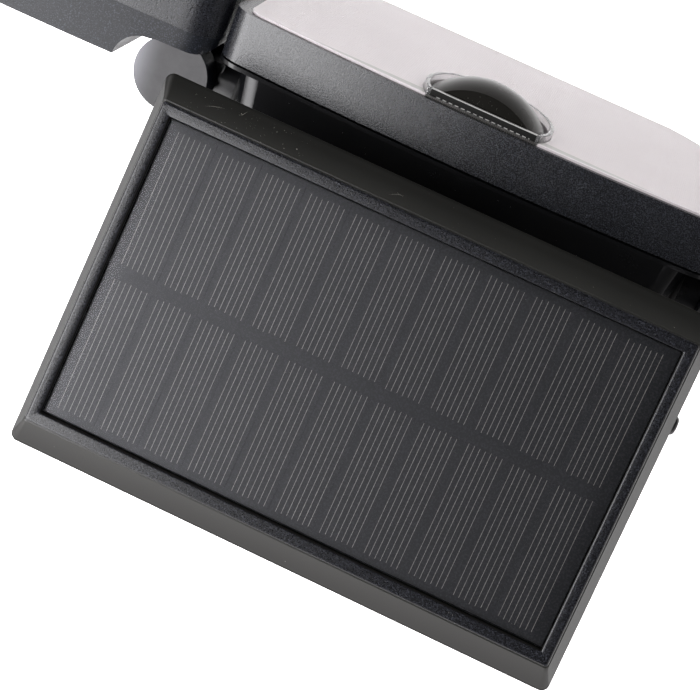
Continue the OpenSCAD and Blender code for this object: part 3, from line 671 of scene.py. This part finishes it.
def panel_frame():
    """Frame with a fine inner chamfer, a beaded rim, a flared wall and softened creases."""
    ledge_z, ledge_under, ledge_width = -4.2, -6.0, 3.5
    skirt_wall = 2.4
    # distance out from the opening, depth below the rim top at the X sides
    bead = ((0.2, 0.13), (0.5, 0.085), (0.8, 0.045), (1.1, 0.015), (1.4, 0.0))
    bead_y_share = 0.7              # the bead is shallower at the Y sides
    # share of the flare at the X sides, at the Y sides, and depth cut in;
    # a fine parting groove under the rim, then the plain wall
    wall = ((0.105, 0.045, 0.0), (0.125, 0.06, 0.26), (0.175, 0.09, 0.28), (0.20, 0.11, 0.02),
            (0.21, 0.12, 0.0), (0.3, 0.3, 0.0), (0.6, 0.6, 0.0), (0.85, 0.85, 0.0))
    slope_x, slope_y = math.atan2(FLARE_DROP, FLARE_X), math.atan2(FLARE_DROP, FLARE_Y)
    slopes = (math.degrees(slope_x), math.degrees(slope_y))

    rings = [corner_ring(OPEN_X, OPEN_Y, 0.35, ledge_z),
             corner_ring(OPEN_X, OPEN_Y, 0.35, -0.34, -0.30),
             corner_ring(OPEN_X + 0.05, OPEN_Y + 0.05, 0.38, -0.22, -0.18)]
    for out, depth in bead:
        rings.append(corner_ring(OPEN_X + out, OPEN_Y + out, 0.38 + out / 4,
                                 -depth, -depth * bead_y_share))
    rings += fillet(RIM_X, RIM_Y, 0.0, start=(3, 2), end=slopes,
                    radius=1.0, corners=(0.8, 0.7), steps=8)
    for share_x, share_y, cut in wall:
        rings.append(corner_ring(RIM_X + FLARE_X * share_x - cut * math.sin(slope_x),
                                 RIM_Y + FLARE_Y * share_y - cut * math.sin(slope_y),
                                 0.7 + 1.5 * share_x,
                                 -FLARE_DROP * share_x - cut * math.cos(slope_x),
                                 -FLARE_DROP * share_y - cut * math.cos(slope_y)))
    rings += fillet(BASE_X, BASE_Y, -FLARE_DROP, start=slopes, end=(90, 90),
                    radius=0.3, corners=(2.2, 2.2), steps=5)
    rings.append(corner_ring(BASE_X, BASE_Y, 2.2, -9.0))
    rings += fillet(BASE_X, BASE_Y, SKIRT_Z, start=(90, 90), end=(180, 180),
                    radius=0.3, corners=(2.2, 2.0), steps=3)
    # back up inside the skirt and in under the ledge
    for z in (SKIRT_Z, ledge_under):
        rings.append(corner_ring(BASE_X - skirt_wall, BASE_Y - skirt_wall, 1.2, z))
    for z in (ledge_under, ledge_z):
        rings.append(corner_ring(OPEN_X - ledge_width, OPEN_Y - ledge_width, 0.5, z))

    verts, faces = loft(rings, looped=True)
    obj = mesh_object("panel_frame_rolled", verts, faces, MATERIALS["frame"],
                      "solar_panel", PANEL)
    weight_normals(obj, 60)
    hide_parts("panel_frame")


panel_frame()


# ---------------------------------------------------------------- resin film

def resin_film():
    """Film that is flat over the cells and rolls down into the gap at its edges."""
    x0, x1, y0, y1 = -70.7, 70.92, -41.4, 41.1
    roll_x, roll_y = 7, 5.5         # width of the rolled margin
    drop_x, drop_y = 0.27, 0.24     # how far it has fallen at the edge
    edge_mark = 0.6                 # "edge" attribute at the outside
    # inset and depth of the small round at the very edge
    lip = ((0.0, 1.0), (0.0, 0.22), (0.03, 0.1), (0.09, 0.03), (0.18, 0.0))
    # the long shallow crown, as shares of the rolled margin
    crown = (0.06, 0.13, 0.21, 0.3, 0.4, 0.51, 0.63, 0.76, 0.89, 1.0, 1.2)

    def film_ring(inset_x, inset_y, corner, depth):
        fall_x = drop_x * max(0, 1 - inset_x / roll_x) ** 2
        fall_y = drop_y * max(0, 1 - inset_y / roll_y) ** 2
        return corner_ring((x1 - x0) / 2 - inset_x, (y1 - y0) / 2 - inset_y, corner,
                           FILM_TOP - fall_x - depth, FILM_TOP - fall_y - depth,
                           steps=6, centre=((x0 + x1) / 2, (y0 + y1) / 2))

    rings = [film_ring(inset, inset, 0.5, depth) for inset, depth in lip]
    marks = [edge_mark] * len(lip)
    for share in crown:
        level = min(share, 1.0)
        rings.append(film_ring(roll_x * share, roll_y * share, 0.5 + 0.8 * level, 0.0))
        marks.append(edge_mark * (1 - level))

    verts, faces = loft(rings)
    obj = mesh_object("film_rolled", verts, faces, MATERIALS["film"],
                      "solar_panel", PANEL)
    edge = obj.data.attributes.new("edge", "FLOAT", "POINT")
    edge.data.foreach_set("value", [mark for mark in marks for _ in rings[0]])
    weight_normals(obj, 60)
    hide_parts("front_film")


resin_film()


# ---------------------------------------------------------------- panel lead

def panel_lead():
    """Lead between the body's grommet and the panel's, in one smooth bend."""
    radius, sides, steps = 1.6, 20, 32
    panel_end = Vector((31, -52.955, 67.352))
    body_end = Vector((31, -64, 40.3))
    pull = Vector((31, -52.5, 52))              # middle control point of the bend
    panel_up = Vector((0, -math.sin(TILT), math.cos(TILT)))

    path = [Vector((31, -64, 35.0)), Vector((31, -64, 37.5))]
    for k in range(steps + 1):
        t = k / steps
        path.append((1 - t) ** 2 * body_end + 2 * t * (1 - t) * pull + t * t * panel_end)
    path += [panel_end + panel_up * 1.5, panel_end + panel_up * 3.0]

    across = Vector((1, 0, 0))
    rings = []
    for k, point in enumerate(path):
        along = (path[min(k + 1, len(path) - 1)] - path[max(k - 1, 0)]).normalized()
        over = along.cross(across).normalized()
        angles = [2 * math.pi * j / sides for j in range(sides)]
        rings.append([tuple((point + (across * math.cos(a) + over * math.sin(a)) * radius) * MM)
                      for a in angles])
    verts, faces = loft(rings)
    lead = mesh_object("panel_lead", verts, faces, MATERIALS["cable"])
    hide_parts("panel_cable")
    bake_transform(lead)


panel_lead()


# ---------------------------------------------------------------- dust and scratches

DUST = plain("dust", (0.30, 0.29, 0.26), rough=0.8, scale=3000, vary=0.4)
X_AXIS, Y_AXIS = Vector((1, 0, 0)), Vector((0, 1, 0))
rng = random.Random(11)


def add_fleck(verts, faces, centre, size, across=Y_AXIS):
    """A flattened grain of uneven outline, on the surface spanned by X and `across`."""
    sides, top_share, sunk = 7, 0.55, 0.01
    normal = X_AXIS.cross(across).normalized()
    first = len(verts)
    radii = [size * rng.uniform(0.6, 1.15) for _ in range(sides)]
    for share, lift in ((1, -sunk), (top_share, size * top_share)):
        for k, radius in enumerate(radii):
            angle = 2 * math.pi * k / sides
            offset = X_AXIS * math.cos(angle) + across * math.sin(angle)
            verts.append(tuple((Vector(centre) + offset * radius * share + normal * lift) * MM))
    for k in range(sides):
        after = (k + 1) % sides
        faces.append((first + k, first + after, first + sides + after, first + sides + k))
    faces.append(tuple(first + sides + k for k in range(sides)))


def on_front_wall(x, share):
    """Point on the frame's front wall; share is 0 at the rim and 1 at the foot of the flare."""
    return Vector((x, -(RIM_Y + FLARE_Y * share), -FLARE_DROP * share))


def add_scratch(verts, faces, x0, share0, x1, share1, bow):
    """A hairline on the front wall, tapered at both ends."""
    steps, half_width, lift = 14, 0.028, 0.012
    normal = Vector((0, -FLARE_DROP, FLARE_Y)).normalized()
    along = (on_front_wall(x1, share1) - on_front_wall(x0, share0)).normalized()
    side = along.cross(normal).normalized()
    first = len(verts)
    for k in range(steps + 1):
        t = k / steps
        share = share0 + (share1 - share0) * t + bow * 0.2 * math.sin(math.pi * t)
        half = half_width * math.sin(math.pi * (0.08 + 0.84 * t))
        centre = on_front_wall(x0 + (x1 - x0) * t, share) + normal * lift
        verts.append(tuple((centre + side * half) * MM))
        verts.append(tuple((centre - side * half) * MM))
    for a in range(first, first + 2 * steps, 2):
        faces.append((a, a + 1, a + 3, a + 2))


def panel_dust():
    # x and share down the wall at the start, the same at the end, bow
    scratches = ((64.0, 0.44, 59.4, 0.62, 0.12),
                 (55.6, 0.62, 53.8, 0.86, -0.3),
                 (12.0, 0.3, 8.5, 0.45, 0.2))
    verts, faces = [], []
    up_wall = Vector((0, FLARE_Y, FLARE_DROP)).normalized()
    for _ in range(70):             # front wall, thicker towards +X
        share = rng.uniform(0.12, 0.85)
        x = rng.choice((rng.uniform(-68, 68), rng.uniform(35, 70), rng.uniform(35, 70)))
        size = rng.choice((0.05, 0.06, 0.07, 0.1))
        add_fleck(verts, faces, on_front_wall(x, share), size, across=up_wall)
    for _ in range(26):             # rim, along the Y sides
        centre = (rng.uniform(-70, 70), rng.choice((-1, 1)) * rng.uniform(42.3, 43.4), 0.0)
        add_fleck(verts, faces, centre, rng.choice((0.04, 0.06)))
    for _ in range(60):             # film
        centre = (rng.uniform(-66, 66), rng.uniform(-39, 39), FILM_TOP)
        add_fleck(verts, faces, centre, rng.choice((0.04, 0.05, 0.07)))
    for scratch in scratches:
        add_scratch(verts, faces, *scratch)
    mesh_object("dust_and_scratches", verts, faces, DUST,
                "solar_panel", PANEL)


def body_dust():
    verts, faces = [], []
    for _ in range(34):             # round the sensor dome
        centre = (rng.gauss(0, 4.5), rng.uniform(-132.3, -128.6), 36.0)
        add_fleck(verts, faces, centre, rng.choice((0.04, 0.05, 0.07)))
    for _ in range(40):             # behind it, a little lower
        centre = (rng.uniform(-55, 55), rng.uniform(-111, -86), 33.0)
        add_fleck(verts, faces, centre, rng.choice((0.05, 0.06, 0.08)))
    mesh_object("body_dust", verts, faces, DUST, "lamp_body")


panel_dust()
body_dust()


# ---------------------------------------------------------------- floor

def floor_material():
    """Pale table top that glows a little, as a light table does.

    The camera sees an even glow; the light cast on the lamp fades towards +X and the front.
    """
    camera_glow = 0.8
    made, g = new_material("floor_pale")
    cloud = g.noise(8, detail=3, rough=0.5)
    pale = g.two_tone(cloud, (0.9, 0.9, 0.9), (0.93, 0.93, 0.93))
    x, y, _ = g.xyz()
    front = (-0.35, -0.12)          # Y range over which the front fades
    glow = g.times(g.remap(x, over=(-0.15, 0.3), to=(1.0, 0.36)),
                   g.remap(y, over=front, to=(0.2, 1.0)))
    camera_ray = g.add("LightPath").outputs["Is Camera Ray"]
    shade = g.math("MAXIMUM", g.remap(x, over=(0.05, 0.35), to=(0.0, 0.85)),
                   g.remap(y, over=front, to=(0.7, 0.0)))
    g.output(g.principled({
        "Base Color": g.mix(g.times(shade, g.minus(1.0, camera_ray)), pale, (0.25, 0.25, 0.25)),
        "Roughness": 0.95,
        "Specular IOR Level": 0.05,
        "Emission Color": (1, 0.985, 0.98),
        "Emission Strength": g.plus(g.times(glow, g.minus(1.0, camera_ray)),
                                    g.times(camera_ray, camera_glow))}))
    return made


def build_floor():
    x0, x1, y0, y1, z = -2.5, 2.5, -0.75, 2.5, -0.22
    mesh = bpy.data.meshes.new("floor")
    mesh.from_pydata([(x0, y0, z), (x1, y0, z), (x1, y1, z), (x0, y1, z)], [], [(0, 1, 2, 3)])
    floor = bpy.data.objects.new("floor", mesh)
    mesh.materials.append(floor_material())
    scene.collection.objects.link(floor)


build_floor()


# ---------------------------------------------------------------- world

def build_world():
    """White to the camera; for light, bright low behind the lamp, dim in front and overhead."""
    world = bpy.data.worlds.new("studio")
    world.use_nodes = True
    g = Graph(world.node_tree, space="Generated")
    x, y, z = g.xyz()

    def ease(value, over, to=(0.0, 1.0)):
        return g.remap(value, over, to, curve="SMOOTHSTEP")

    sweep = g.times(ease(y, over=(0.45, 0.8), to=(0.0, 1.7)), ease(z, over=(0.75, 0.5)))
    sides = g.times(ease(g.math("ABSOLUTE", x, 0), over=(0.5, 0.8), to=(0.0, 1.2)),
                    ease(z, over=(0.55, 0.2)))
    below = g.times(ease(z, over=(0.0, -0.2), to=(0.0, 1.2)),
                    ease(y, over=(-0.95, -0.6), to=(0.1, 1.0)))
    everywhere = 0.075
    strength = g.plus(g.plus(sweep, sides), g.plus(below, everywhere))
    lighting = g.add("Background", {"Color": (1.0, 0.965, 0.975), "Strength": strength})
    backdrop = g.add("Background", {"Color": (1, 1, 1), "Strength": 1.0})
    camera_ray = g.add("LightPath").outputs["Is Camera Ray"]
    g.output(g.mix_shader(camera_ray, lighting.outputs[0], backdrop.outputs[0]),
             kind="OutputWorld")
    scene.world = world


build_world()


# ---------------------------------------------------------------- lights

def area_light(name, location, size, power, target=None):
    """Square area light that the camera never sees; without a target it points straight down."""
    light = bpy.data.lights.new(name, "AREA")
    light.energy = power
    light.size = size
    obj = bpy.data.objects.new(name, light)
    scene.collection.objects.link(obj)
    obj.location = location
    if target:
        aim = Vector(target) - Vector(location)
        obj.rotation_euler = aim.to_track_quat("-Z", "Y").to_euler()
    obj.visible_camera = False
    return obj


# one large soft box over the +X side, seen in the glossy faces
softbox = area_light("softbox", location=(0.558, 0.12, 0.56), size=0.80, power=18.5)
softbox.data.color = (1.0, 0.993, 1.012)
softbox.data.shape = "RECTANGLE"
softbox.data.size_y = 0.80

# and two that only fill
for fill in (
    area_light("front_fill", location=(-0.5, -1.2, 0.5), size=0.9, power=5.5,
               target=(0, -0.1, 0.0)),
    area_light("top_fill", location=(-0.3, 0.4, 1.3), size=1.0, power=3, target=(0, -0.06, 0)),
):
    fill.visible_glossy = False


# ---------------------------------------------------------------- camera

def build_camera():
    data = bpy.data.cameras.new("camera")
    data.lens = 92.57
    data.sensor_width = 36
    data.clip_start = 0.01
    camera = bpy.data.objects.new("camera", data)
    scene.collection.objects.link(camera)
    # the camera's axes: right is squared up against back
    right = Vector((-0.9037, -0.3532, -0.2422)).normalized()
    back = Vector((-0.0801, -0.4164, 0.9057)).normalized()
    up = back.cross(right).normalized()
    right = up.cross(back).normalized()
    turned = Matrix((right, up, back)).transposed().to_4x4()
    camera.matrix_world = Matrix.Translation((-0.03186, -0.25970, 0.48966)) @ turned
    scene.camera = camera


build_camera()
scene.view_settings.view_transform = "Standard"
scene.view_settings.look = "None"
